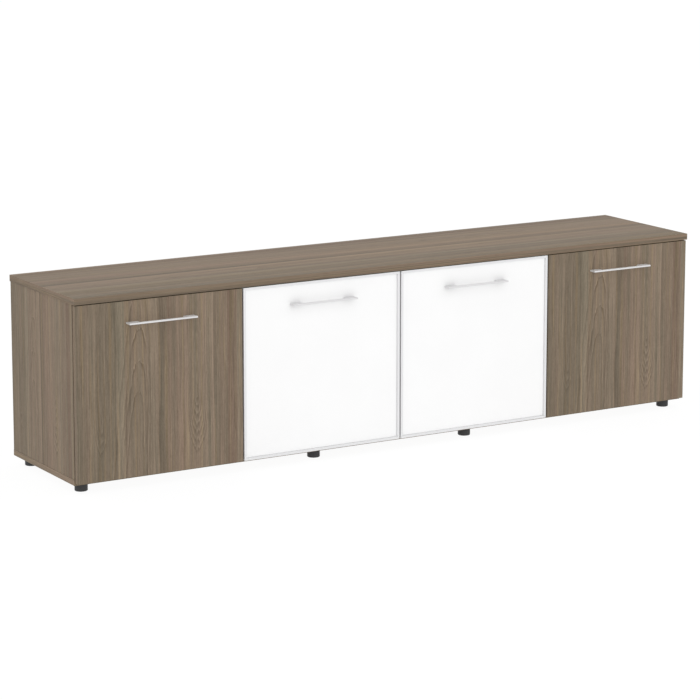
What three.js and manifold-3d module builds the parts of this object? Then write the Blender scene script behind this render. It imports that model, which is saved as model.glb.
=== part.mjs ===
// Low office credenza: a long cabinet on round levelling feet, with bays behind bottom-hung flaps.
// The end flaps are wood laminate and the middle ones are white panels in mitred aluminium frames.
// Each flap turns on two butt hinges and is held by a stay: a rod that slides through a swivelling brake.
// Millimetres, +Z up. The front faces -Y, the floor is Z = 0 and the origin is the middle of the footprint.
import * as THREE from 'three';
import { mergeVertices } from 'three/addons/utils/BufferGeometryUtils.js';
import Module from 'manifold-3d';

const wasm = await Module();
wasm.setup();

// Cabinet
const TOP_LENGTH = 2000;
const TOP_DEPTH = 410;
const TOP_THICKNESS = 18;
const BODY_HEIGHT = 505; // underside of the bottom panel to the upper face of the top
const BOTTOM_THICKNESS = 16;
const SIDE_THICKNESS = 16;
const PARTITION_THICKNESS = 16;
const BACK_THICKNESS = 6;
const BACK_SET_IN = 2; // behind it, to the rear edges of the sides
const SIDE_SET_IN = 2.5; // from the ends of the top
const BOTTOM_SET_IN = 2; // from the ends of the top
const BAY_COUNT = 4;
const JOINT_GAP = 0.05; // between faces that are glued or screwed together

// Flaps
const FLAP_THICKNESS = 16;
const FLAP_SET_IN = 3.5; // from the ends of the top
const FLAP_SET_BACK = 2; // behind the front edge of the top
const FLAP_GAP_ABOVE = 2.5;
const FLAP_GAP_BELOW = 6.6; // above the underside of the bottom panel
const FLAP_GAP_BETWEEN = 4;
const FLAP_OPEN_ANGLE = THREE.MathUtils.degToRad(85);

// Frames of the middle flaps
const FRAME_FACE = 7; // width of the visible front
const FRAME_FLANGE = 26; // width of the back, which carries the panel
const FRAME_RECESS = 5; // from the front of the frame to the panel
const GLASS_THICKNESS = 4;
const GLASS_CLEARANCE = 0.3;
const MITRE_CLEARANCE = 0.1;

// Handles
const HANDLE_LENGTH = 202;
const HANDLE_LEG = 33; // width of each leg along the handle
const HANDLE_PROJECTION = 23;
const HANDLE_BAR = 8; // depth of the bar between the legs
const HANDLE_THICKNESS = 4.6;
const HANDLE_CORNER = 2.5; // radius where the bar meets a leg
const HANDLE_DROP = 58.8; // from the flap's upper edge to the handle's middle

// Butt hinges in the gap behind the flaps
const HINGE_WIDTH = 60;
const HINGE_INSET = 90; // from the flap's end to the hinge's middle
const LEAF_THICKNESS = 1;
const LEAF_SPACE = 0.5; // between the two leaves when the flap is closed
const LEAF_HEIGHT = 24; // of the leaf on the flap
const LEAF_FLANGE = 26; // of the leaf on the bottom panel
const KNUCKLE_RADIUS = 2.4;
const KNUCKLE_LENGTH = 15; // of each outer knuckle
const KNUCKLE_CLEARANCE = 0.5;
const HINGE_PIN_RADIUS = 1.2;

// Stays: the rod's pivot on the flap and the brake's pivot on the wall are equally far from the hinge axis,
// so that the rod and the brake always turn half as far as the flap
const STAY_REACH = 150; // from the hinge axis to both pivots
const STAY_LEAN = THREE.MathUtils.degToRad(35); // of the brake's pivot, back from upright
const BRACKET_STANDOFF = 12; // from the flap to the rod's pivot
const BRACKET_WIDTH = 16;
const BRACKET_HEIGHT = 36;
const BRACKET_PLATE = 2;
const EAR_THICKNESS = 2.5;
const EAR_RADIUS = 6;
const STAY_PIN_RADIUS = 2.5;
const STAY_PIN_HEAD_RADIUS = 4;
const STAY_PIN_HEAD = 1.5;
const ROD_RADIUS = 3;
const ROD_EYE_RADIUS = 7;
const ROD_STOP_RADIUS = 5.5;
const ROD_STOP = 6;
const BRAKE_LENGTH = 34;
const BRAKE_HEIGHT = 20;
const BRAKE_WIDTH = 14;
const BRAKE_CORNER = 5;
const BRAKE_WALL_GAP = 2;
const BRAKE_COLLAR_RADIUS = 8;
const BRAKE_STUD_RADIUS = 4;
const BRAKE_STUD_COVER = 6; // wood left behind the stud's hole

// Levelling feet
const FOOT_DIAMETER = 35.5;
const FOOT_HEIGHT = 24; // floor to the underside of the bottom panel
const FOOT_INSET = 36; // from the bottom panel's edges to the foot's middle
const FOOT_CHAMFER = 1.2;
const FOOT_NECK_DIAMETER = 22;
const FOOT_NECK = 4;
const FOOT_STUD_RADIUS = 4;
const FOOT_STUD_COVER = 5; // wood left above the stud's hole

// Fits and roundness
const RUNNING_CLEARANCE = 0.3;
const HOLE_END_ROOM = 0.5; // between a stud's end and the bottom of its hole
const ROUND_SIDES = 12;
const HOLE_SIDES = 16;
const FOOT_SIDES = 24;
const CORNER_STEPS = 4;
const MERGE_TOLERANCE = 1e-4;

// Heights
const bottomTop = FOOT_HEIGHT + BOTTOM_THICKNESS;
const topUpper = FOOT_HEIGHT + BODY_HEIGHT;
const topUnder = topUpper - TOP_THICKNESS;
const wallLow = bottomTop + JOINT_GAP;
const wallHigh = topUnder - JOINT_GAP;

// Depths, from the handles at the front to the rear edges
const rear = (TOP_DEPTH + HANDLE_PROJECTION - FLAP_SET_BACK) / 2;
const topFront = rear - TOP_DEPTH;
const flapGapBehind = 2 * LEAF_THICKNESS + LEAF_SPACE;
const flapFront = topFront + FLAP_SET_BACK;
const bodyFront = flapFront + FLAP_THICKNESS + flapGapBehind;
const backRear = rear - BACK_SET_IN;
const backFront = backRear - BACK_THICKNESS;

// Lengths
const topEnd = TOP_LENGTH / 2;
const sideOuter = topEnd - SIDE_SET_IN;
const sideInner = sideOuter - SIDE_THICKNESS;
const bottomEnd = topEnd - BOTTOM_SET_IN;
const bayPitch = TOP_LENGTH / BAY_COUNT;

// The flaps' hinge axis lies halfway across the gap, level with the flaps' lower edge
const halfGap = flapGapBehind / 2;
const axisY = bodyFront - halfGap;
const axisZ = FOOT_HEIGHT + FLAP_GAP_BELOW;
const flapHeight = topUnder - FLAP_GAP_ABOVE - axisZ;
const flapFrontFromAxis = flapFront - axisY;
const knuckleRoom = KNUCKLE_RADIUS + KNUCKLE_CLEARANCE;

// The stay, seen from the side and measured from the hinge axis: [backward, up]
const rodPivotBack = BRACKET_STANDOFF - halfGap;
const rodPivot = [rodPivotBack, Math.sqrt(STAY_REACH ** 2 - rodPivotBack ** 2)];
const brakePivot = [STAY_REACH * Math.sin(STAY_LEAN), STAY_REACH * Math.cos(STAY_LEAN)];
const rodTilt = Math.atan2(brakePivot[1] - rodPivot[1], brakePivot[0] - rodPivot[0]);
const closedSpread = STAY_LEAN - Math.asin(rodPivotBack / STAY_REACH);
const openReach = 2 * STAY_REACH * Math.sin((closedSpread + FLAP_OPEN_ANGLE) / 2);
const rodStopStart = openReach + BRAKE_LENGTH / 2 + RUNNING_CLEARANCE;
const rodPlane = BRAKE_WALL_GAP + BRAKE_WIDTH / 2; // from the wall
const eyeHalf = ROD_RADIUS; // the rod's eye is as thick as the rod

const materials = {
  wood: new THREE.MeshStandardMaterial({ color: 0x7f7162, roughness: 0.6, metalness: 0 }),
  backBoard: new THREE.MeshStandardMaterial({ color: 0x85776a, roughness: 0.75, metalness: 0 }),
  glass: new THREE.MeshStandardMaterial({ color: 0xf4f4f4, roughness: 0.15, metalness: 0 }),
  aluminium: new THREE.MeshStandardMaterial({ color: 0xd6d7d9, roughness: 0.35, metalness: 0.8 }),
  satinMetal: new THREE.MeshStandardMaterial({ color: 0xd2d2d4, roughness: 0.3, metalness: 0.9 }),
  steel: new THREE.MeshStandardMaterial({ color: 0xa9abad, roughness: 0.35, metalness: 1 }),
  greyPlastic: new THREE.MeshStandardMaterial({ color: 0x6f7173, roughness: 0.6, metalness: 0 }),
  blackPlastic: new THREE.MeshStandardMaterial({ color: 0x262626, roughness: 0.55, metalness: 0 }),
};

const credenza = new THREE.Group();

// Geometry helpers

function box(low, high) {
  const size = high.map((value, i) => value - low[i]);
  const middle = high.map((value, i) => (value + low[i]) / 2);
  return new THREE.BoxGeometry(...size).translate(...middle);
}

function roundBarX(radius, ends, sides = ROUND_SIDES) {
  const [low, high] = [Math.min(...ends), Math.max(...ends)];
  const bar = new THREE.CylinderGeometry(radius, radius, high - low, sides);
  return bar.rotateZ(Math.PI / 2).translate((low + high) / 2, 0, 0);
}

function roundBarY(radius, low, high, sides = ROUND_SIDES) {
  const bar = new THREE.CylinderGeometry(radius, radius, high - low, sides);
  return bar.translate(0, (low + high) / 2, 0);
}

function roundBarZ(radius, low, high, sides = ROUND_SIDES) {
  const bar = new THREE.CylinderGeometry(radius, radius, high - low, sides);
  return bar.rotateX(Math.PI / 2).translate(0, 0, (low + high) / 2);
}

function toSolid(geometry) {
  const bare = geometry.clone();
  bare.deleteAttribute('normal');
  bare.deleteAttribute('uv');
  const merged = mergeVertices(bare, MERGE_TOLERANCE);
  const vertProperties = new Float32Array(merged.attributes.position.array);
  const triVerts = new Uint32Array(merged.index.array);
  return new wasm.Manifold(new wasm.Mesh({ numProp: 3, vertProperties, triVerts }));
}

function toGeometry(solid) {
  const mesh = solid.getMesh();
  const geometry = new THREE.BufferGeometry();
  geometry.setAttribute('position', new THREE.BufferAttribute(mesh.vertProperties, 3));
  geometry.setIndex(new THREE.BufferAttribute(mesh.triVerts, 1));
  geometry.computeVertexNormals();
  return geometry;
}

function join(...geometries) {
  return toGeometry(geometries.map(toSolid).reduce((whole, piece) => whole.add(piece)));
}

function cut(geometry, ...tools) {
  return toGeometry(tools.map(toSolid).reduce((whole, tool) => whole.subtract(tool), toSolid(geometry)));
}

function addMesh(parent, name, geometry, material, position = [0, 0, 0]) {
  const mesh = new THREE.Mesh(geometry, material);
  mesh.name = name;
  mesh.position.set(...position);
  parent.add(mesh);
  return mesh;
}

function addGroup(parent, position, tiltX = 0) {
  const group = new THREE.Group();
  group.position.set(...position);
  group.rotation.x = tiltX;
  parent.add(group);
  return group;
}

// A board between two corners, less any cuts, which are given in the cabinet's frame.
function addBoard(name, low, high, material, cuts = []) {
  const middle = high.map((value, i) => (value + low[i]) / 2);
  const size = high.map((value, i) => value - low[i]);
  const board = new THREE.BoxGeometry(...size);
  const away = middle.map((value) => -value);
  const geometry = cuts.length ? cut(board, ...cuts.map((tool) => tool.translate(...away))) : board;
  addMesh(credenza, name, geometry, material, middle);
}

// Bays, from left to right

function makeBay(index) {
  const isFirst = index === 0;
  const isLast = index === BAY_COUNT - 1;
  const start = -topEnd + index * bayPitch;
  const left = start + (isFirst ? FLAP_SET_IN : FLAP_GAP_BETWEEN / 2);
  const right = start + bayPitch - (isLast ? FLAP_SET_IN : FLAP_GAP_BETWEEN / 2);
  const stayOnLeft = index < BAY_COUNT / 2;
  const onSide = isFirst || isLast;
  const wallThickness = onSide ? SIDE_THICKNESS : PARTITION_THICKNESS;
  const inward = stayOnLeft ? 1 : -1; // along X, from the wall that carries the stay
  const partitionLine = stayOnLeft ? start : start + bayPitch;
  const wallFace = onSide ? -inward * sideInner : partitionLine + (inward * PARTITION_THICKNESS) / 2;
  return {
    name: `flap_${index + 1}`,
    framed: !onSide,
    middle: (left + right) / 2,
    width: right - left,
    wallFace,
    wallThickness,
    inward,
  };
}

const bays = Array.from({ length: BAY_COUNT }, (_, index) => makeBay(index));
const hingeSides = { left: -1, right: 1 };

function hingeMiddle(bay, side) {
  return side * (bay.width / 2 - HINGE_INSET);
}

// Room for a hinge's knuckles, cut from a flap's inner edge or the bottom panel's front edge.
function knuckleCut(low, high) {
  const half = HINGE_WIDTH / 2 + KNUCKLE_CLEARANCE;
  return box([-half, low, -knuckleRoom], [half, high, knuckleRoom]);
}

// Cabinet boards

function addCabinet() {
  addBoard('top_panel', [-topEnd, topFront, topUnder], [topEnd, rear, topUpper], materials.wood);
  addBottom();
  addWall('side_panel_left', -sideOuter, -sideInner, rear);
  addWall('side_panel_right', sideInner, sideOuter, rear);
  for (let i = 1; i < BAY_COUNT; i += 1) {
    const line = -topEnd + i * bayPitch;
    const half = PARTITION_THICKNESS / 2;
    addWall(`partition_${i}`, line - half, line + half, backFront - JOINT_GAP);
  }
  const backEnd = sideInner - JOINT_GAP;
  addBoard('back_panel', [-backEnd, backFront, wallLow], [backEnd, backRear, wallHigh], materials.backBoard);
}

function addBottom() {
  const studHoles = footPlaces().map(({ x, y }) => {
    const depth = BOTTOM_THICKNESS - FOOT_STUD_COVER;
    const hole = roundBarZ(FOOT_STUD_RADIUS + RUNNING_CLEARANCE, -HOLE_END_ROOM, depth, HOLE_SIDES);
    return hole.translate(x, y, FOOT_HEIGHT);
  });
  const hingeCuts = bays.flatMap((bay) =>
    Object.values(hingeSides).map((side) =>
      knuckleCut(0, knuckleRoom).translate(bay.middle + hingeMiddle(bay, side), axisY, axisZ)));
  const low = [-bottomEnd, bodyFront, FOOT_HEIGHT];
  const high = [bottomEnd, rear, bottomTop];
  addBoard('bottom_panel', low, high, materials.wood, [...studHoles, ...hingeCuts]);
}

// A side or partition, with a blind hole for the stud of each brake that it carries.
function addWall(name, left, right, wallRear) {
  const holes = bays
    .filter((bay) => bay.wallFace >= left && bay.wallFace <= right)
    .map((bay) => {
      const depth = bay.wallThickness - BRAKE_STUD_COVER;
      const ends = [bay.wallFace + bay.inward * HOLE_END_ROOM, bay.wallFace - bay.inward * depth];
      const hole = roundBarX(BRAKE_STUD_RADIUS + RUNNING_CLEARANCE, ends, HOLE_SIDES);
      return hole.translate(0, axisY + brakePivot[0], axisZ + brakePivot[1]);
    });
  addBoard(name, [left, bodyFront, wallLow], [right, wallRear, wallHigh], materials.wood, holes);
}

// Feet: a row at the front and one at the rear, at both ends and under the middle of each inner bay

function footPlaces() {
  const end = bottomEnd - FOOT_INSET;
  const across = [-end, ...bays.slice(1, -1).map((_, i) => -topEnd + (i + 1.5) * bayPitch), end];
  const rows = { front: bodyFront + FOOT_INSET, rear: rear - FOOT_INSET };
  return Object.entries(rows).flatMap(([row, y]) =>
    across.map((x, i) => ({ name: `foot_${row}_${i + 1}`, x, y })));
}

function addFeet() {
  const radius = FOOT_DIAMETER / 2;
  const neckTop = FOOT_HEIGHT - RUNNING_CLEARANCE;
  const studTop = FOOT_HEIGHT + BOTTOM_THICKNESS - FOOT_STUD_COVER - HOLE_END_ROOM;
  const outline = [
    [0, 0],
    [radius - FOOT_CHAMFER, 0],
    [radius, FOOT_CHAMFER],
    [radius, neckTop - FOOT_NECK],
    [FOOT_NECK_DIAMETER / 2, neckTop - FOOT_NECK],
    [FOOT_NECK_DIAMETER / 2, neckTop],
    [FOOT_STUD_RADIUS, neckTop],
    [FOOT_STUD_RADIUS, studTop],
    [0, studTop],
  ].map(([x, y]) => new THREE.Vector2(x, y));
  for (const { name, x, y } of footPlaces()) {
    const foot = new THREE.LatheGeometry(outline, FOOT_SIDES).rotateX(Math.PI / 2);
    addMesh(credenza, name, foot, materials.blackPlastic, [x, y, 0]);
  }
}

// Flaps. Each flap's group has its origin on the hinge axis, at the flap's middle

function flapCuts(bay) {
  return Object.values(hingeSides).map((side) =>
    knuckleCut(-knuckleRoom, 0).translate(hingeMiddle(bay, side), 0, 0));
}

function addWoodFlap(bay, flap) {
  const low = [-bay.width / 2, flapFrontFromAxis, 0];
  const high = [bay.width / 2, -halfGap, flapHeight];
  addMesh(flap, `${bay.name}_panel`, cut(box(low, high), ...flapCuts(bay)), materials.wood);
}

// An aluminium profile along X with its outer edge at Z = 0 and its front at Y = 0, mitred at both ends.
function mitredProfile(length) {
  const flangeFront = FRAME_RECESS + GLASS_THICKNESS + JOINT_GAP;
  const section = new THREE.Shape([
    new THREE.Vector2(0, 0),
    new THREE.Vector2(FRAME_FACE, 0),
    new THREE.Vector2(FRAME_FACE, flangeFront),
    new THREE.Vector2(FRAME_FLANGE, flangeFront),
    new THREE.Vector2(FRAME_FLANGE, FLAP_THICKNESS),
    new THREE.Vector2(0, FLAP_THICKNESS),
  ]);
  const profile = new THREE.ExtrudeGeometry(section, { depth: 1, bevelEnabled: false });
  const points = profile.attributes.position;
  for (let i = 0; i < points.count; i += 1) {
    const inset = points.getX(i);
    const half = length / 2 - inset - MITRE_CLEARANCE;
    const along = points.getZ(i) > 0.5 ? half : -half;
    points.setXYZ(i, -along, points.getY(i), inset);
  }
  return profile;
}

function addFramedFlap(bay, flap) {
  const half = { across: bay.width / 2, up: flapHeight / 2 };
  const profiles = {
    bottom: { length: bay.width, turn: 0, at: [0, 0] },
    left: { length: flapHeight, turn: Math.PI / 2, at: [-half.across, half.up] },
    top: { length: bay.width, turn: Math.PI, at: [0, flapHeight] },
    right: { length: flapHeight, turn: -Math.PI / 2, at: [half.across, half.up] },
  };
  for (const [side, { length, turn, at }] of Object.entries(profiles)) {
    const profile = mitredProfile(length).rotateY(turn).translate(at[0], flapFrontFromAxis, at[1]);
    const geometry = side === 'bottom' ? cut(profile, ...flapCuts(bay)) : toGeometry(toSolid(profile));
    addMesh(flap, `${bay.name}_frame_${side}`, geometry, materials.aluminium);
  }
  const edge = FRAME_FACE + GLASS_CLEARANCE;
  const front = flapFrontFromAxis + FRAME_RECESS;
  const low = [-half.across + edge, front, edge];
  const high = [half.across - edge, front + GLASS_THICKNESS, flapHeight - edge];
  addMesh(flap, `${bay.name}_glass`, box(low, high), materials.glass);
}

// A flat bar on two wide legs, which stand on the flap's face.
function addHandle(bay, flap) {
  const end = HANDLE_LENGTH / 2;
  const legInner = end - HANDLE_LEG;
  const barBack = HANDLE_BAR - HANDLE_PROJECTION;
  const cornerX = legInner - HANDLE_CORNER;
  const cornerY = barBack + HANDLE_CORNER;
  const outline = new THREE.Shape();
  outline.moveTo(-end, -JOINT_GAP);
  outline.lineTo(-end, -HANDLE_PROJECTION);
  outline.lineTo(end, -HANDLE_PROJECTION);
  outline.lineTo(end, -JOINT_GAP);
  outline.lineTo(legInner, -JOINT_GAP);
  outline.absarc(cornerX, cornerY, HANDLE_CORNER, 0, -Math.PI / 2, true);
  outline.absarc(-cornerX, cornerY, HANDLE_CORNER, -Math.PI / 2, -Math.PI, true);
  outline.lineTo(-legInner, -JOINT_GAP);
  const options = { depth: HANDLE_THICKNESS, bevelEnabled: false, curveSegments: CORNER_STEPS };
  const handle = new THREE.ExtrudeGeometry(outline, options).translate(0, 0, -HANDLE_THICKNESS / 2);
  const face = flapFrontFromAxis + (bay.framed ? FRAME_RECESS : 0);
  const place = [0, face, flapHeight - HANDLE_DROP];
  addMesh(flap, `${bay.name}_handle`, handle, materials.satinMetal, place);
}

// Hinges, made round their own axis

function fixedLeaf() {
  const half = HINGE_WIDTH / 2;
  const inner = half - KNUCKLE_LENGTH;
  const back = halfGap - JOINT_GAP;
  const front = back - LEAF_THICKNESS;
  const seat = bottomTop - axisZ + JOINT_GAP;
  const plateTop = seat + LEAF_THICKNESS;
  return join(
    box([-half, front, knuckleRoom], [half, back, plateTop]),
    box([-half, front, seat], [half, halfGap + LEAF_FLANGE, plateTop]),
    box([-half, front, 0], [-inner, back, plateTop]),
    box([inner, front, 0], [half, back, plateTop]),
    roundBarX(KNUCKLE_RADIUS, [-half, -inner]),
    roundBarX(KNUCKLE_RADIUS, [inner, half]),
    roundBarX(HINGE_PIN_RADIUS, [-half, half]),
  );
}

function flapLeaf() {
  const half = HINGE_WIDTH / 2;
  const inner = half - KNUCKLE_LENGTH - KNUCKLE_CLEARANCE;
  const front = JOINT_GAP - halfGap;
  const back = front + LEAF_THICKNESS;
  const plate = join(
    box([-half, front, knuckleRoom], [half, back, LEAF_HEIGHT]),
    box([-inner, front, 0], [inner, back, LEAF_HEIGHT]),
    roundBarX(KNUCKLE_RADIUS, [-inner, inner]),
  );
  return cut(plate, roundBarX(HINGE_PIN_RADIUS + RUNNING_CLEARANCE, [-half, half]));
}

function addHinges(bay, flap) {
  for (const [sideName, side] of Object.entries(hingeSides)) {
    const x = hingeMiddle(bay, side);
    const name = `${bay.name}_hinge_${sideName}`;
    addMesh(flap, `${name}_flap_leaf`, flapLeaf(), materials.steel, [x, 0, 0]);
    addMesh(credenza, `${name}_fixed_leaf`, fixedLeaf(), materials.steel, [bay.middle + x, axisY, axisZ]);
  }
}

// Stays

function stayBracket(inward) {
  const along = (distance) => inward * distance;
  const halfWidth = BRACKET_WIDTH / 2;
  const halfHeight = BRACKET_HEIGHT / 2;
  const earNear = eyeHalf + RUNNING_CLEARANCE;
  const earFar = earNear + EAR_THICKNESS;
  const headFar = -earNear - STAY_PIN_HEAD;
  const front = JOINT_GAP - halfGap - rodPivot[0];
  const ear = [along(earNear), along(earFar)];
  const earBox = [Math.min(...ear), Math.max(...ear)];
  return join(
    box([-halfWidth, front, -halfHeight], [halfWidth, front + BRACKET_PLATE, halfHeight]),
    box([earBox[0], front, -EAR_RADIUS], [earBox[1], 0, EAR_RADIUS]),
    roundBarX(EAR_RADIUS, ear),
    roundBarX(STAY_PIN_RADIUS, [along(earFar), along(headFar)]),
    roundBarX(STAY_PIN_HEAD_RADIUS, [along(-earNear), along(headFar)]),
  );
}

// The rod, along +Y from its eye to its stop.
function stayRod() {
  const eyeHole = STAY_PIN_RADIUS + RUNNING_CLEARANCE;
  const rodStart = (eyeHole + ROD_EYE_RADIUS) / 2;
  const eye = cut(
    roundBarX(ROD_EYE_RADIUS, [-eyeHalf, eyeHalf], HOLE_SIDES),
    roundBarX(eyeHole, [-2 * eyeHalf, 2 * eyeHalf], HOLE_SIDES),
  );
  const rodEnd = rodStopStart + ROD_STOP;
  return join(
    eye,
    roundBarY(ROD_RADIUS, rodStart, rodEnd),
    roundBarY(ROD_STOP_RADIUS, rodStopStart, rodEnd),
  );
}

// The brake: a rounded block that the rod slides through, on a stud that turns in the wall.
function stayBrake(bay) {
  const alongHalf = BRAKE_LENGTH / 2;
  const upHalf = BRAKE_HEIGHT / 2;
  const outline = new THREE.Shape();
  outline.absarc(alongHalf - BRAKE_CORNER, upHalf - BRAKE_CORNER, BRAKE_CORNER, 0, Math.PI / 2);
  outline.absarc(BRAKE_CORNER - alongHalf, upHalf - BRAKE_CORNER, BRAKE_CORNER, Math.PI / 2, Math.PI);
  outline.absarc(BRAKE_CORNER - alongHalf, BRAKE_CORNER - upHalf, BRAKE_CORNER, Math.PI, 1.5 * Math.PI);
  outline.absarc(alongHalf - BRAKE_CORNER, BRAKE_CORNER - upHalf, BRAKE_CORNER, 1.5 * Math.PI, 2 * Math.PI);
  const options = { depth: BRAKE_WIDTH, bevelEnabled: false, curveSegments: CORNER_STEPS };
  const block = new THREE.ExtrudeGeometry(outline, options).translate(0, 0, -BRAKE_WIDTH / 2);
  block.rotateX(Math.PI / 2).rotateZ(Math.PI / 2);
  const wallSide = -bay.inward * (BRAKE_WIDTH / 2);
  const collarEnd = -bay.inward * (rodPlane - RUNNING_CLEARANCE);
  const studLength = bay.wallThickness - BRAKE_STUD_COVER - HOLE_END_ROOM;
  const studEnd = -bay.inward * (rodPlane + studLength);
  const studStart = wallSide + bay.inward * RUNNING_CLEARANCE;
  const solid = join(
    block,
    roundBarX(BRAKE_COLLAR_RADIUS, [studStart, collarEnd]),
    roundBarX(BRAKE_STUD_RADIUS, [studStart, studEnd]),
  );
  return cut(solid, roundBarY(ROD_RADIUS + RUNNING_CLEARANCE, -BRAKE_LENGTH, BRAKE_LENGTH));
}

function addStay(bay, flap) {
  const rodX = bay.wallFace + bay.inward * rodPlane;
  const name = `${bay.name}_stay`;
  const bracket = addGroup(flap, [rodX - bay.middle, ...rodPivot]);
  addMesh(bracket, `${name}_bracket`, stayBracket(bay.inward), materials.steel);
  const rod = addGroup(bracket, [0, 0, 0], rodTilt);
  addMesh(rod, `${name}_rod`, stayRod(), materials.steel);
  const brake = addGroup(credenza, [rodX, axisY + brakePivot[0], axisZ + brakePivot[1]], rodTilt);
  addMesh(brake, `${name}_brake`, stayBrake(bay), materials.greyPlastic);
}

addCabinet();
addFeet();
for (const bay of bays) {
  const flap = addGroup(credenza, [bay.middle, axisY, axisZ]);
  const addFront = bay.framed ? addFramedFlap : addWoodFlap;
  addFront(bay, flap);
  addHandle(bay, flap);
  addHinges(bay, flap);
  addStay(bay, flap);
}

export default credenza;
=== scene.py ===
"""Looks of the office credenza: materials, rounded edges, small fasteners, studio and camera.

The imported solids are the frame, in metres, and the front of the cabinet faces -Y. Named sizes are
in millimetres, apart from those of the studio, which are in metres.
"""
import math

import bmesh
import bpy
from mathutils import Matrix, Vector


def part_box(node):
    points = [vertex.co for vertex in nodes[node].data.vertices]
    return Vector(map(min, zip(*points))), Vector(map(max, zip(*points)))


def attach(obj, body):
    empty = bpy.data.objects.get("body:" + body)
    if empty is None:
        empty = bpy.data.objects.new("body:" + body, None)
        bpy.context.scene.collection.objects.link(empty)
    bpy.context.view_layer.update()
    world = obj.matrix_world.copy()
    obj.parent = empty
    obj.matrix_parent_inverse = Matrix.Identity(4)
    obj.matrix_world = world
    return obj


MM = 0.001
BAYS = (1, 2, 3, 4)
WOOD_BAYS = (1, 4)
FRAME_SIDES = ("top", "bottom", "left", "right")
HINGE_SIDES = ("left", "right")
WALLS = ("side_panel_left", "partition_1", "partition_2", "partition_3", "side_panel_right")

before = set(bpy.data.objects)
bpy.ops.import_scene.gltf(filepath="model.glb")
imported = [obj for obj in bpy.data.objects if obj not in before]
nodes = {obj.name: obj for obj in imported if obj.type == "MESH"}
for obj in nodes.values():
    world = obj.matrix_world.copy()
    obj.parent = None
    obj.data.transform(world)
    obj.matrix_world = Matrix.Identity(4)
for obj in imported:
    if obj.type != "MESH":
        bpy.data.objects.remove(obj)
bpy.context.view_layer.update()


# Colours and shader nodes

BLACK = (0.0, 0.0, 0.0, 1.0)
WHITE = (1.0, 1.0, 1.0, 1.0)
MIX_FROM, MIX_TO, MIX_RESULT = 6, 7, 2  # the sockets of a Mix node that hold colours


def srgb(red, green, blue):
    """Linear RGBA of a colour given in 0 to 255."""
    def linear(value):
        value /= 255
        return value / 12.92 if value <= 0.04045 else ((value + 0.055) / 1.055) ** 2.4
    return (linear(red), linear(green), linear(blue), 1.0)


def grey(level):
    return (level, level, level, 1.0)


def dimmed(colour, share):
    return tuple(value * share for value in colour[:3]) + (1.0,)


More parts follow.
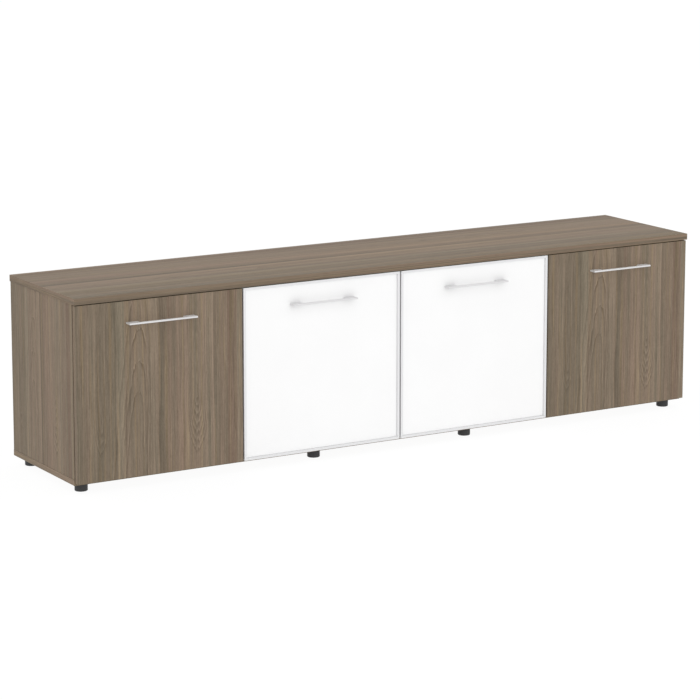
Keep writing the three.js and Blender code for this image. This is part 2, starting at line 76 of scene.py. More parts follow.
class Shader:
    """A material with its Principled BSDF, and short ways to add nodes to it."""

    def __init__(self, name):
        self.material = bpy.data.materials.new(name)
        self.material.use_nodes = True
        self.tree = self.material.node_tree
        self.tree.nodes.clear()
        output = self.tree.nodes.new("ShaderNodeOutputMaterial")
        self.bsdf = self.tree.nodes.new("ShaderNodeBsdfPrincipled")
        self.link(self.bsdf.outputs["BSDF"], output.inputs["Surface"])

    def link(self, source, target):
        self.tree.links.new(source, target)

    def feed(self, socket, value):
        """Links a socket to another one, or sets its constant."""
        if isinstance(value, bpy.types.NodeSocket):
            self.link(value, socket)
        else:
            socket.default_value = value

    def set(self, **values):
        """Sets inputs of the BSDF, with _ for a space in their names."""
        for name, value in values.items():
            self.feed(self.bsdf.inputs[name.replace("_", " ")], value)

    def math(self, operation, first, second=0.0):
        node = self.tree.nodes.new("ShaderNodeMath")
        node.operation = operation
        self.feed(node.inputs[0], first)
        self.feed(node.inputs[1], second)
        return node.outputs[0]

    def add(self, *terms):
        total = terms[0]
        for term in terms[1:]:
            total = self.math("ADD", total, term)
        return total

    def scaled(self, value, factor, offset=0.0):
        node = self.tree.nodes.new("ShaderNodeMath")
        node.operation = "MULTIPLY_ADD"
        self.feed(node.inputs[0], value)
        self.feed(node.inputs[1], factor)
        self.feed(node.inputs[2], offset)
        return node.outputs[0]

    def between(self, low, high, factor):
        """low where factor is 0 and high where it is 1."""
        node = self.tree.nodes.new("ShaderNodeMix")
        node.data_type = "FLOAT"
        self.feed(node.inputs["Factor"], factor)
        self.feed(node.inputs["A"], low)
        self.feed(node.inputs["B"], high)
        return node.outputs["Result"]

    def tint(self, low, high, factor):
        """The same for colours."""
        node = self.tree.nodes.new("ShaderNodeMix")
        node.data_type = "RGBA"
        self.feed(node.inputs["Factor"], factor)
        self.feed(node.inputs[MIX_FROM], low)
        self.feed(node.inputs[MIX_TO], high)
        return node.outputs[MIX_RESULT]

    def vector(self, x, y, z):
        node = self.tree.nodes.new("ShaderNodeCombineXYZ")
        for socket, value in zip(node.inputs, (x, y, z)):
            self.feed(socket, value)
        return node.outputs[0]

    def split(self, vector):
        node = self.tree.nodes.new("ShaderNodeSeparateXYZ")
        self.link(vector, node.inputs[0])
        return list(node.outputs)

    def coordinates(self):
        """The object's own coordinates in millimetres, and its own normal."""
        node = self.tree.nodes.new("ShaderNodeTexCoord")
        scale = self.tree.nodes.new("ShaderNodeVectorMath")
        scale.operation = "SCALE"
        scale.inputs["Scale"].default_value = 1 / MM
        self.link(node.outputs["Object"], scale.inputs[0])
        return self.split(scale.outputs[0]), self.split(node.outputs["Normal"])

    def noise(self, vector, detail, roughness=0.5):
        node = self.tree.nodes.new("ShaderNodeTexNoise")
        self.link(vector, node.inputs["Vector"])
        node.inputs["Scale"].default_value = 1.0
        node.inputs["Detail"].default_value = detail
        node.inputs["Roughness"].default_value = roughness
        return node.outputs[0]

    def cells(self, axes, sizes, detail, roughness=0.5):
        """A noise whose cells have given sizes along x, y and z."""
        place = self.vector(*(self.scaled(axis, 1 / size) for axis, size in zip(axes, sizes)))
        return self.noise(place, detail, roughness)

    def cloud(self, axes, size, detail, roughness=0.5):
        """A noise whose cells are as large along every axis."""
        return self.cells(axes, (size, size, size), detail, roughness)

    def ramp(self, factor, stops, interpolation="LINEAR"):
        """A value, or a colour, that runs through stops of a place and a value there."""
        node = self.tree.nodes.new("ShaderNodeValToRGB")
        node.color_ramp.interpolation = interpolation
        elements = node.color_ramp.elements
        while len(elements) < len(stops):
            elements.new(0.5)
        for element, (position, colour) in zip(elements, stops):
            element.position = position
            element.color = colour if isinstance(colour, tuple) else grey(colour)
        self.feed(node.inputs[0], factor)
        return node.outputs[0]

    def covered(self, reach):
        """Share of a face's view that is blocked within a reach."""
        node = self.tree.nodes.new("ShaderNodeAmbientOcclusion")
        node.inputs["Distance"].default_value = reach * MM
        return self.scaled(node.outputs["AO"], -1.0, 1.0)

    def bump(self, height, strength, distance):
        node = self.tree.nodes.new("ShaderNodeBump")
        node.inputs["Strength"].default_value = strength
        node.inputs["Distance"].default_value = distance * MM
        self.link(height, node.inputs["Height"])
        self.link(node.outputs[0], self.bsdf.inputs["Normal"])


# Wood laminate. Its pattern is placed from its middle: u across the grain and v along it.

PATTERN_WIDTH = 495.0  # across the grain, before the boards repeat
TONE_SPAN = 50.0  # levels of 255 from the darkest wood to the lightest
TONE_GREEN, TONE_BLUE = 0.93, 0.83  # how far green and blue follow a change of red
COOL_WOOD = (125.7, 115.9, 99.3)
WARM_WOOD = (132.2, 112.9, 97.3)
TAN_WOOD = (135.2, 118.9, 97.3)
BOARD_JOINT = 1.2  # width over which one board gives way to the next
BOARD_SPREAD = 19.0  # how far apart the noises of the coolest and the warmest board lie
BAND_PLACE = 182.0  # u of the strip that most edge bands show
TOP_BAND_PLACE = 18.0  # and of the neutral one on the top's edges
BOTTOM_BAND_PLACE = 130.0  # and of the lighter one on the bottom panel's
BAND_SQUEEZE = 2.0  # mm of the pattern in each mm of an edge band
FACING = 0.7  # a face belongs to an axis if its normal has more than this along it
# The laminate's boards: left edge, tone in levels there and at the right edge, and warmth
BOARDS = (
    (0, -10, -7, -0.5),
    (22, -4, 2, -0.1),
    (57, -8, -4, -0.4),
    (118, 7, 9, -0.5),
    (142, 0, 9, 0.2),
    (240, -13, -6, -0.05),
    (268, 0, 7, 0.6),
    (333, 2, 6, 0.05),
    (408, -3, 0, 0.15),
    (450, -12, -4, 0.75),
    (478, 6, 5, -0.3),
)
# Noises of the grain: size of a cell across and along it, detail and roughness
WANDER = (60, 200, 2.0, 0.5)
BROAD = (22, 700, 1.0, 0.5)
STREAK = (7, 420, 2.0, 0.6)
LINE = (2.6, 240, 2.0, 0.65)
FINE = (0.9, 30, 1.0, 0.5)
FLECKS = (2.2, 10, 1.0, 0.5)
MOTTLE = (14, 60, 2.0, 0.5)
FRAY = (4.5, 70, 2.0, 0.6)
PORES = (0.6, 8, 0.0, 0.5)
TAN = (9, 500, 2.0, 0.5)
WIDE_HAIR = (15, 900, 1.0, 0.5)
CLOSE_HAIR = (6, 500, 1.0, 0.5)
# What they add to the tone, in levels
STREAK_LEVELS = 37
LINE_LEVELS = 45
FIGURE_LEVELS = 41
BROAD_LEVELS = 18
FINE_LEVELS = 30
FLECK_LEVELS = 14
MOTTLE_LEVELS = 12
PORE_LEVELS = -5
WIDE_HAIR_LEVELS = -9
CLOSE_HAIR_LEVELS = -7
# How they act in other ways
WANDER_WIDTH = 9.0  # that the boards sway across the grain
FRAY_LENGTH = 34.0  # along the grain, over which fibres break up the figure
WIDE_HAIR_LINE, CLOSE_HAIR_LINE = 0.02, 0.025  # part of a noise that shows as a thin line
PORE_STOPS = ((0.10, 0.0), (0.20, 1.0))
TAN_STOPS = ((0.03, 0.0), (0.16, 1.0))
BROAD_WARMTH, STREAK_WARMTH = 1.2, 0.8
FIGURE_PATCHES, FIGURE_BASE = 3.0, 0.85  # how much the mottle varies the figure, and about what
CALM = 0.4  # share of the grain that the figured boards lack
# Shine and relief
WOOD_ROUGHNESS, STREAK_ROUGHNESS, PORE_ROUGHNESS = 0.58, 0.16, 0.10
WOOD_SPECULAR = 0.1
LINE_RELIEF, PORE_RELIEF = 0.6, -0.7
WOOD_BUMP, WOOD_BUMP_DEPTH = 0.12, 0.2


def wood_ramp(shader, tone, middle):
    """Dark to light wood of one cast, given by its middle tone."""
    red, green, blue = middle

    def shade(levels):
        return srgb(red + levels, green + levels * TONE_GREEN, blue + levels * TONE_BLUE)

    half = TONE_SPAN / 2
    return shader.ramp(tone, [(0.0, shade(-half)), (0.5, shade(0.0)), (1.0, shade(half))])


def board_ramp(shader, share, pick):
    """A value along the pattern that runs from pick's first to its second in each board."""
    lefts = [board[0] for board in BOARDS]
    rights = lefts[1:] + [PATTERN_WIDTH]
    stops = []
    for board, left, right in zip(BOARDS, lefts, rights):
        low, high = pick(board)
        stops += [(left / PATTERN_WIDTH, low), ((right - BOARD_JOINT) / PATTERN_WIDTH, high)]
    return shader.ramp(share, stops)


# Arches of the pattern: tip, and curve of the legs
ARCHES = (
    ((-62.0, 258.0), 0.0032),
    ((-62.5, 159.0), 0.0055),
    ((-64.0, 72.0), 0.0059),
    ((-68.0, -13.0), 0.012),
)
# Tone across an arch's line: distance from it, less than 0 inside the arch, and tone there
ARCH_PROFILE = (
    (-9.5, 0.5),
    (-4.0, 0.40),
    (-1.6, 0.14),
    (0.0, 0.0),
    (1.5, 0.36),
    (3.0, 0.74),
    (5.5, 0.5),
)
ARCH_REACH = 20.0  # width across which a line is drawn
ARCH_LEAN = 0.05  # sideways drift of an arch for each mm along the grain
ARCH_OPENING = 1 / 3  # power of the way down with which the legs part
ARCH_ABOVE = 0.5  # growth of the distance for each mm above the tip
ARCH_SWAY = 9.0  # that the mottle moves the line
ARCH_TIP = 60.0  # along the grain, within which a line is clearest
ARCH_STRENGTH, ARCH_TIP_STRENGTH = 0.75, 0.65  # of a line, and what its tip adds to that


def arch_line(shader, u, v, mottle, place, curve):
    """One pointed arch of a flat-sawn board as a tone about 0: a dark line, pale outside."""
    low = shader.scaled(v, -1.0, place[1])
    off = shader.add(u, shader.scaled(low, ARCH_LEAN, -place[0]))
    below = shader.scaled(shader.math("MAXIMUM", low, 0.0), 1 / curve)
    legs = shader.math("POWER", below, ARCH_OPENING)
    above = shader.math("MAXIMUM", shader.scaled(low, -ARCH_ABOVE), 0.0)
    sway = shader.scaled(mottle, ARCH_SWAY)
    gap = shader.add(shader.math("ABSOLUTE", off), shader.scaled(legs, -1.0), above, sway)
    stops = [(0.5 + distance / ARCH_REACH, tone) for distance, tone in ARCH_PROFILE]
    tone = shader.ramp(shader.scaled(gap, 1 / ARCH_REACH, 0.5), stops)
    tip = shader.ramp(shader.scaled(low, 1 / ARCH_TIP), [(0.0, 1.0), (1.0, 0.0)])
    strength = shader.scaled(tip, ARCH_TIP_STRENGTH, ARCH_STRENGTH)
    return shader.math("MULTIPLY", shader.scaled(tone, 1.0, -0.5), strength)


# Eyes of the pattern: middle, pitch, slimness, number of rings and strength in levels
EYES = (
    ((108.5, -25.0), 4.4, 5.2, 7, 36.0),
    ((-179.0, -72.0), 5.6, 5.0, 3, 24.0),
)
EYE_PROFILE = ((0.0, 0.1), (0.2, 0.2), (0.45, 0.5), (0.6, 0.5), (0.8, 0.8), (1.0, 0.4))
EYE_FADE = ((0.0, 1.0), (0.55, 0.9), (0.75, 0.25))  # from the lowest ring to the highest
EYE_ABOVE = 0.4  # growth of a ring's radius above the middle, as a share of that below it
EYE_SWAY = 1.5  # pitches that the wander moves a ring


def eye_lines(shader, u, v, wander, place, pitch, slimness, count):
    """Nested long ovals, clearest below their middle, as where a board grazes a bump."""
    off = shader.add(u, -place[0])
    up = shader.add(v, -place[1])
    above = shader.scaled(up, EYE_ABOVE / slimness)
    below = shader.scaled(up, -1 / slimness)
    tall = shader.math("MAXIMUM", above, below)
    squares = shader.add(shader.math("MULTIPLY", off, off), shader.math("MULTIPLY", tall, tall))
    sway = shader.scaled(wander, pitch * EYE_SWAY)
    radius = shader.add(shader.math("SQRT", squares), sway)
    rings = shader.math("MINIMUM", shader.scaled(radius, 1 / pitch), count + 0.5)
    tone = shader.ramp(shader.math("FRACT", rings), EYE_PROFILE)
    reach = 2 * count * pitch * slimness
    fade = shader.ramp(shader.scaled(up, 1 / reach, 0.5), EYE_FADE)
    return shader.math("MULTIPLY", shader.scaled(tone, 1.0, -0.5), fade)


QUIET = ((-64.0, 30.0), (108.5, 26.0))  # middle and half width of the boards with calmer grain
QUIET_STOPS = ((0.6, 1.0), (1.0, 0.0))


def window(shader, across, half_width):
    """1 near the middle of a board, 0 outside it."""
    share = shader.scaled(shader.math("ABSOLUTE", across), 1 / half_width)
    return shader.ramp(share, QUIET_STOPS, "EASE")


def wood(name, node, run, across, seed, turn=(1.0, 1.0), slide=0.0, band=BAND_PLACE):
    """Laminate with its grain along one axis of a board, and its pattern as wide as the board.

    turn is the sense of the pattern across the board, and how far it is drawn out along the grain.
    slide moves the pattern along the grain, and band is the strip of it that the edges show.
    """
    shader = Shader(name)
    axes, normal = shader.coordinates()
    low, high = (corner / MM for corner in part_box(node))
    centre, size = (low + high) / 2, high - low
    run, across = "xyz".index(run), "xyz".index(across)
    third = 3 - run - across
    stretch = turn[0] * PATTERN_WIDTH / size[across]
    face_u = shader.scaled(axes[across], stretch, -centre[across] * stretch)
    face_v = shader.scaled(axes[run], turn[1], -centre[run] * turn[1] + slide)
    depth = shader.scaled(axes[third], 1.0, -centre[third])
    on_end = shader.math("GREATER_THAN", shader.math("ABSOLUTE", normal[run]), FACING)
    on_edge = shader.math("GREATER_THAN", shader.math("ABSOLUTE", normal[across]), FACING)
    on_band = shader.math("MAXIMUM", on_end, on_edge)
    u = shader.between(face_u, shader.scaled(depth, BAND_SQUEEZE, band), on_band)
    v = shader.between(face_v, face_u, on_end)

    def noise(kind, part, base):
        wide, long, detail, roughness = kind
        place = shader.vector(shader.scaled(base, 1 / wide), shader.scaled(v, 1 / long), part)
        return shader.scaled(shader.noise(place, detail, roughness), 1.0, -0.5)

    def levels(value, count):
        return shader.scaled(value, count / TONE_SPAN)

    wander = noise(WANDER, seed, u)
    bent = shader.add(u, shader.scaled(wander, WANDER_WIDTH))
    share = shader.math("FRACT", shader.scaled(bent, 1 / PATTERN_WIDTH, 0.5))
    board = board_ramp(shader, share, lambda b: (0.5 + b[1] / TONE_SPAN, 0.5 + b[2] / TONE_SPAN))
    warm = board_ramp(shader, share, lambda b: (0.5 + b[3] / 2, 0.5 + b[3] / 2))
    part = shader.scaled(warm, BOARD_SPREAD, seed)

    def hair(kind, thickness):
        """Thin lines that run with the grain, where a slow noise changes sign."""
        away = shader.math("ABSOLUTE", noise(kind, part, bent))
        return shader.ramp(away, [(0.0, 1.0), (thickness, 0.0)])

    broad, streak, line, fine, tan = (
        noise(kind, part, bent) for kind in (BROAD, STREAK, LINE, FINE, TAN))
    flecks, mottle, fray, pores = (
        noise(kind, seed, bent) for kind in (FLECKS, MOTTLE, FRAY, PORES))
    pores = shader.ramp(pores, PORE_STOPS)
    frayed = shader.add(v, shader.scaled(fray, FRAY_LENGTH))
    figure = shader.add(*(arch_line(shader, bent, frayed, mottle, *arch) for arch in ARCHES))
    figure = shader.math("MULTIPLY", figure, shader.scaled(mottle, FIGURE_PATCHES, FIGURE_BASE))
    calm = shader.add(*(window(shader, shader.add(bent, -at), half) for at, half in QUIET))
    grain = shader.add(levels(streak, STREAK_LEVELS), levels(line, LINE_LEVELS))
    grain = shader.math("MULTIPLY", grain, shader.scaled(calm, -CALM, 1.0))
    tone = shader.add(
        board,
        grain,
        levels(figure, FIGURE_LEVELS),
        levels(broad, BROAD_LEVELS),
        levels(fine, FINE_LEVELS),
        levels(flecks, FLECK_LEVELS),
        levels(mottle, MOTTLE_LEVELS),
        levels(hair(WIDE_HAIR, WIDE_HAIR_LINE), WIDE_HAIR_LEVELS),
        levels(hair(CLOSE_HAIR, CLOSE_HAIR_LINE), CLOSE_HAIR_LEVELS),
        levels(pores, PORE_LEVELS),
    )
    for *eye, strength in EYES:
        tone = shader.add(tone, levels(eye_lines(shader, bent, frayed, wander, *eye), strength))
    warmth = shader.add(
        warm, shader.scaled(broad, BROAD_WARMTH), shader.scaled(streak, STREAK_WARMTH))
    cool_wood, warm_wood, tan_wood = (
        wood_ramp(shader, tone, middle) for middle in (COOL_WOOD, WARM_WOOD, TAN_WOOD))
    colour = shader.tint(cool_wood, warm_wood, warmth)
    colour = shader.tint(colour, tan_wood, shader.ramp(tan, TAN_STOPS))
    rough = shader.add(
        shader.scaled(streak, STREAK_ROUGHNESS, WOOD_ROUGHNESS),
        shader.scaled(pores, PORE_ROUGHNESS),
    )
    shader.set(Base_Color=colour, Roughness=rough, Specular_IOR_Level=WOOD_SPECULAR)
    relief = shader.add(shader.scaled(line, LINE_RELIEF), shader.scaled(pores, PORE_RELIEF))
    shader.bump(relief, WOOD_BUMP, WOOD_BUMP_DEPTH)
    return shader.material


# Metals, glass and plastics

BRUSH_LENGTH, BRUSH_WIDTH = 60, 0.35  # of the brushed lines
METAL_CLOUD = 90  # size of the metal's slow unevenness
METAL_DARK = 0.88  # the darkest metal, as a share of the lightest
LINE_SHADE, CLOUD_SHADE = 0.7, 0.3
LINE_DULLNESS, CLOUD_DULLNESS = 0.12, 0.05  # what they add to the roughness
BRUSH_DEPTH = 0.1


def brushed(name, colour, along, roughness, metallic=1.0, strength=0.05):
    """Satin metal with faint brushing along one axis. A coated one is only partly metallic."""
    shader = Shader(name)
    axes, _ = shader.coordinates()
    sizes = [BRUSH_LENGTH if axis == along else BRUSH_WIDTH for axis in "xyz"]
    lines = shader.cells(axes, sizes, detail=3.0, roughness=0.6)
    cloud = shader.cloud(axes, METAL_CLOUD, detail=2.0)
    shade = shader.add(shader.scaled(lines, LINE_SHADE), shader.scaled(cloud, CLOUD_SHADE))
    rough = shader.add(
        shader.scaled(lines, LINE_DULLNESS, roughness), shader.scaled(cloud, CLOUD_DULLNESS))
    shader.set(Base_Color=shader.tint(dimmed(colour, METAL_DARK), colour, shade))
    shader.set(Metallic=metallic, Roughness=rough)
    shader.bump(lines, strength, BRUSH_DEPTH)
    return shader.material


PAINTED_SHADE_REACH = 70.0  # within which the handle blocks the view, for the painted shade on the glass
PAINTED_SHADE_STRENGTH = 0.36  # share of the white that the painted shade takes where the handle covers all of the view
PAINTED_SHADE_FADE = 50.0  # from the handle's outline to where the painted shade ends
GLASS_DARK, GLASS_LIGHT = srgb(250, 250, 250), srgb(254, 254, 254)
GLASS_CLOUD, GLASS_SPECK = 160, 4
GLASS_ROUGHNESS, SPECK_DULLNESS = 0.20, 0.06
GLASS_BUMP, GLASS_BUMP_DEPTH = 0.03, 0.3
COATED_SPECULAR = 0.4  # of painted glass and of plastic


def beside(shader, axis, low, high):
    """1 between two places on an axis, and 0 farther than PAINTED_SHADE_FADE from them."""
    half = (high - low) / 2
    reach = half + PAINTED_SHADE_FADE
    off = shader.math("ABSOLUTE", shader.scaled(axis, 1.0, -(low + high) / 2))
    return shader.ramp(shader.scaled(off, 1 / reach), [(half / reach, 1.0), (1.0, 0.0)], "EASE")


def white_glass(name, handle):
    """Glass painted white on its back: clean gloss over an uneven white, with painted shade
    darkening it around the handle.
    """
    shader = Shader(name)
    axes, _ = shader.coordinates()
    low, high = (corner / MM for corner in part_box(handle))
    # Painted shade: an ambient occlusion share, kept to the handle's surroundings, darkens the base
    # colour towards black around the handle.
    near = shader.math("MULTIPLY", *(beside(shader, axes[i], low[i], high[i]) for i in (0, 2)))
    painted_shade_cover = shader.math("MULTIPLY", shader.covered(PAINTED_SHADE_REACH), near)
    cloud = shader.cloud(axes, GLASS_CLOUD, detail=2.0)
    specks = shader.cloud(axes, GLASS_SPECK, detail=3.0)
    white = shader.tint(GLASS_DARK, GLASS_LIGHT, cloud)
    shader.set(Base_Color=shader.tint(white, BLACK, shader.scaled(painted_shade_cover, PAINTED_SHADE_STRENGTH)))
    shader.set(Roughness=shader.scaled(specks, SPECK_DULLNESS, GLASS_ROUGHNESS))
    shader.set(Specular_IOR_Level=COATED_SPECULAR)
    shader.bump(cloud, GLASS_BUMP, GLASS_BUMP_DEPTH)
    return shader.material


PLASTIC_GRAIN, PLASTIC_CLOUD = 0.5, 14
PLASTIC_DARK = 0.8  # the darkest plastic, as a share of the lightest
PLASTIC_CLOUD_SHADE, PLASTIC_GRAIN_SHADE = 0.6, 0.4
GRAIN_DULLNESS = 0.2
PLASTIC_BUMP, PLASTIC_BUMP_DEPTH = 0.12, 0.15


def plastic(name, colour, roughness):
    """Moulded plastic with a fine spark-eroded grain."""
    shader = Shader(name)
    axes, _ = shader.coordinates()
    grain = shader.cloud(axes, PLASTIC_GRAIN, detail=3.0, roughness=0.65)
    cloud = shader.cloud(axes, PLASTIC_CLOUD, detail=2.0)
    shade = shader.add(
        shader.scaled(cloud, PLASTIC_CLOUD_SHADE), shader.scaled(grain, PLASTIC_GRAIN_SHADE))
    shader.set(Base_Color=shader.tint(dimmed(colour, PLASTIC_DARK), colour, shade))
    shader.set(Roughness=shader.scaled(grain, GRAIN_DULLNESS, roughness))
    shader.set(Specular_IOR_Level=COATED_SPECULAR)
    shader.bump(grain, PLASTIC_BUMP, PLASTIC_BUMP_DEPTH)
    return shader.material


def frame_metal(along):
    """Pale anodised aluminium."""
    return brushed(
        f"aluminium_along_{along}", srgb(236, 236, 237), along,
        roughness=0.40, metallic=0.3, strength=0.1)


GREY_PLASTIC = plastic("grey_plastic", srgb(112, 114, 116), roughness=0.5)
BLACK_PLASTIC = plastic("black_plastic", srgb(54, 54, 55), roughness=0.45)
CAP_PLASTIC = plastic("cap_plastic", srgb(126, 114, 100), roughness=0.45)
STEEL = brushed("steel", srgb(196, 198, 200), "x", roughness=0.30)
ZINC = brushed("zinc", srgb(205, 205, 202), "z", roughness=0.35)
HANDLE_METAL = brushed(
    "handle_metal", srgb(229, 228, 229), "x", roughness=0.34, metallic=0.15, strength=0.12)
FRAME_ALONG_X, FRAME_ALONG_Z = frame_metal("x"), frame_metal("z")

LONG_WAY = (1.0, -0.27)  # turn of the pattern on the long boards
WALL_WAY = (-1.0, 1.0)  # and on the walls
WALL_SEED, WALL_SEED_STEP = 11.3, 2.7
WALL_SLIDE_STEP = 37.0


def dress(node, material):
    mesh = nodes[node].data
    mesh.materials.clear()
    mesh.materials.append(material)


def dress_cabinet():
    dress("top_panel", wood(
        "wood_top", "top_panel", "x", "y", seed=3.1,
        turn=LONG_WAY, slide=-30.0, band=TOP_BAND_PLACE))
    dress("bottom_panel", wood(
        "wood_bottom", "bottom_panel", "x", "y", seed=8.4,
        turn=LONG_WAY, slide=60.0, band=BOTTOM_BAND_PLACE))
    for i, wall in enumerate(WALLS):
        dress(wall, wood(
            f"wood_{wall}", wall, "z", "y", seed=WALL_SEED + i * WALL_SEED_STEP,
            turn=WALL_WAY, slide=i * WALL_SLIDE_STEP))
    dress("back_panel", wood(
        "wood_back", "back_panel", "x", "z", seed=31.9, turn=LONG_WAY, slide=20.0))
    for row in ("front", "rear"):
        for i in BAYS:
            dress(f"foot_{row}_{i}", BLACK_PLASTIC)


def dress_flaps():
    for bay in BAYS:
        flap = f"flap_{bay}"
        if bay in WOOD_BAYS:
            panel = f"{flap}_panel"
            dress(panel, wood(f"wood_{flap}", panel, "z", "x", seed=5.2))
        else:
            dress(f"{flap}_glass", white_glass(f"white_glass_{bay}", f"{flap}_handle"))
            for side in FRAME_SIDES:
                level = side in ("top", "bottom")
                dress(f"{flap}_frame_{side}", FRAME_ALONG_X if level else FRAME_ALONG_Z)
        dress(f"{flap}_handle", HANDLE_METAL)
        for side in HINGE_SIDES:
            dress(f"{flap}_hinge_{side}_flap_leaf", STEEL)
            dress(f"{flap}_hinge_{side}_fixed_leaf", STEEL)
        dress(f"{flap}_stay_bracket", STEEL)
        dress(f"{flap}_stay_rod", STEEL)
        dress(f"{flap}_stay_brake", GREY_PLASTIC)


dress_cabinet()
dress_flaps()


# Rounded edges

SHARP_ANGLE = math.radians(35)
FLAT_ANGLE = math.radians(0.5)
WELD = 0.002
EDGE_SEGMENTS = 2
WALL_EDGE = 0.6
# Rounding of other pieces' edges, by the end of their names. The rest keep theirs.
EDGES = {"handle": 0.7, "panel": 0.6, "brake": 0.8, "bracket": 0.25, "leaf": 0.15}
EDGES.update({f"frame_{side}": 0.35 for side in FRAME_SIDES})


def smoothing_group():
    """Welds a mesh and shades it smooth, apart from edges sharper than SHARP_ANGLE."""
    group = bpy.data.node_groups.new("smooth_by_angle", "GeometryNodeTree")
    group.interface.new_socket("Geometry", in_out="INPUT", socket_type="NodeSocketGeometry")
    group.interface.new_socket("Geometry", in_out="OUTPUT", socket_type="NodeSocketGeometry")
    start = group.nodes.new("NodeGroupInput")
    weld = group.nodes.new("GeometryNodeMergeByDistance")
    weld.inputs["Distance"].default_value = WELD * MM
    angle = group.nodes.new("GeometryNodeInputMeshEdgeAngle")
    sharp = group.nodes.new("FunctionNodeCompare")
    sharp.data_type = "FLOAT"
    sharp.operation = "GREATER_THAN"
    sharp.inputs["B"].default_value = SHARP_ANGLE
    normals = group.nodes.new("GeometryNodeSetMeshNormal")
    normals.mode = "SHARPNESS"
    normals.inputs["Remove Custom"].default_value = True
    normals.inputs["Face Sharpness"].default_value = False
    end = group.nodes.new("NodeGroupOutput")
    group.links.new(start.outputs[0], weld.inputs["Geometry"])
    group.links.new(weld.outputs[0], normals.inputs["Mesh"])
    group.links.new(angle.outputs["Unsigned Angle"], sharp.inputs["A"])
    group.links.new(sharp.outputs["Result"], normals.inputs["Edge Sharpness"])
    group.links.new(normals.outputs[0], end.inputs[0])
    return group


SMOOTHING = smoothing_group()


def edge_width(node):
    if node in WALLS:
        return WALL_EDGE
    return next((width for ending, width in EDGES.items() if node.endswith(ending)), 0.0)


def soften(node, width):
    """Smooths a CAD node's round faces, and rounds its edges by a width."""
    piece = nodes[node]
    piece.modifiers.new("smooth", "NODES").node_group = SMOOTHING
    if width:
        flats = piece.modifiers.new("flats", "DECIMATE")
        flats.decimate_type = "DISSOLVE"
        flats.angle_limit = FLAT_ANGLE
        edges = piece.modifiers.new("edges", "BEVEL")
        edges.width = width * MM
        edges.segments = EDGE_SEGMENTS
        edges.limit_method = "ANGLE"
        edges.angle_limit = SHARP_ANGLE
        edges.harden_normals = True


for node in nodes:
    soften(node, edge_width(node))


# Small fasteners and fittings

ROUND = 24  # steps round a turned shape
SINK = 0.1  # depth that a fitting is set into its surface
# Turned profiles, from the middle of the top to the foot: shares of the radius and of the height
PAN_HEAD = (
    (0.0, 1.0), (0.22, 0.99), (0.42, 0.95), (0.62, 0.86),
    (0.8, 0.7), (0.93, 0.48), (1.0, 0.2), (1.0, 0.0),
)
CAP = (
    (0.0, 1.0), (0.3, 0.99), (0.55, 0.97), (0.75, 0.92),
    (0.9, 0.75), (1.0, 0.35), (1.0, 0.0),
)
BUTTON = ((0.0, 1.0), (0.35, 0.95), (0.65, 0.8), (0.88, 0.5), (1.0, 0.12), (1.0, 0.0))
# Recesses in a head: depth as a share of its height, half width and reach as shares of its radius
CROSS_DEPTH, CROSS_HALF, CROSS_REACH = 0.6, 0.155, 0.65
SLIT_DEPTH, SLIT_HALF, SLIT_REACH = 0.55, 0.17, 0.8


def cross(x, y):
    """Depth of a cross recess at a place on a head."""
    inside = min(abs(x), abs(y)) < CROSS_HALF and math.hypot(x, y) < CROSS_REACH
    return CROSS_DEPTH if inside else 0.0


def slit(x, y):
    inside = abs(y) < SLIT_HALF and math.hypot(x, y) < SLIT_REACH
    return SLIT_DEPTH if inside else 0.0


def plain(x, y):
    return 0.0


def turned(mesh, at, out, radius, height, profile, recess=plain, turn=0.0):
    """Adds a closed turned shape that stands on a surface at a point, along the direction out."""
    facing = Vector(out).to_track_quat("Z", "Y").to_matrix().to_4x4()
    place = Matrix.Translation(Vector(at) * MM) @ facing

    def corner(share, level, step):
        angle = 2 * math.pi * step / ROUND
        x, y = share * math.cos(angle), share * math.sin(angle)
        rise = (level - recess(x, y)) * (height + SINK) - SINK
        spin = Matrix.Rotation(turn, 3, "Z") @ Vector((x * radius, y * radius, rise))
        return mesh.verts.new(place @ (spin * MM))

    top = corner(0.0, 1.0, 0)
    rings = [[corner(share, level, step) for step in range(ROUND)] for share, level in profile[1:]]
    for step in range(ROUND):
        after = (step + 1) % ROUND
        mesh.faces.new((top, rings[0][step], rings[0][after]))
        for inner, outer in zip(rings, rings[1:]):
            mesh.faces.new((inner[step], outer[step], outer[after], inner[after]))
    mesh.faces.new(list(reversed(rings[-1])))


def add_piece(name, mesh, body, material):
    data = bpy.data.meshes.new(name)
    mesh.to_mesh(data)
    mesh.free()
    data.materials.append(material)
    data.shade_smooth()
    piece = bpy.data.objects.new(name, data)
    bpy.context.scene.collection.objects.link(piece)
    piece.modifiers.new("smooth", "NODES").node_group = SMOOTHING
    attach(piece, body)


def span(node):
    """Lowest and highest corner of a node."""
    low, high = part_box(node)
    return low / MM, high / MM


def middle(node):
    low, high = span(node)
    return (low + high) / 2


FORWARD, BACKWARD = (0.0, -1.0, 0.0), (0.0, 1.0, 0.0)
LEFTWARD, RIGHTWARD = (-1.0, 0.0, 0.0), (1.0, 0.0, 0.0)
UPWARD = (0.0, 0.0, 1.0)
# Radius and height of heads and caps
LEAF_SCREW = (3.2, 1.3)
HANDLE_SCREW = (3.9, 2.0)
BRACKET_SCREW = (3.0, 1.6)
BACK_SCREW = (3.4, 1.5)
ADJUSTER = (5.5, 1.6)
FITTING_CAP = (8.5, 0.9)
BUMPER = (2.6, 1.9)
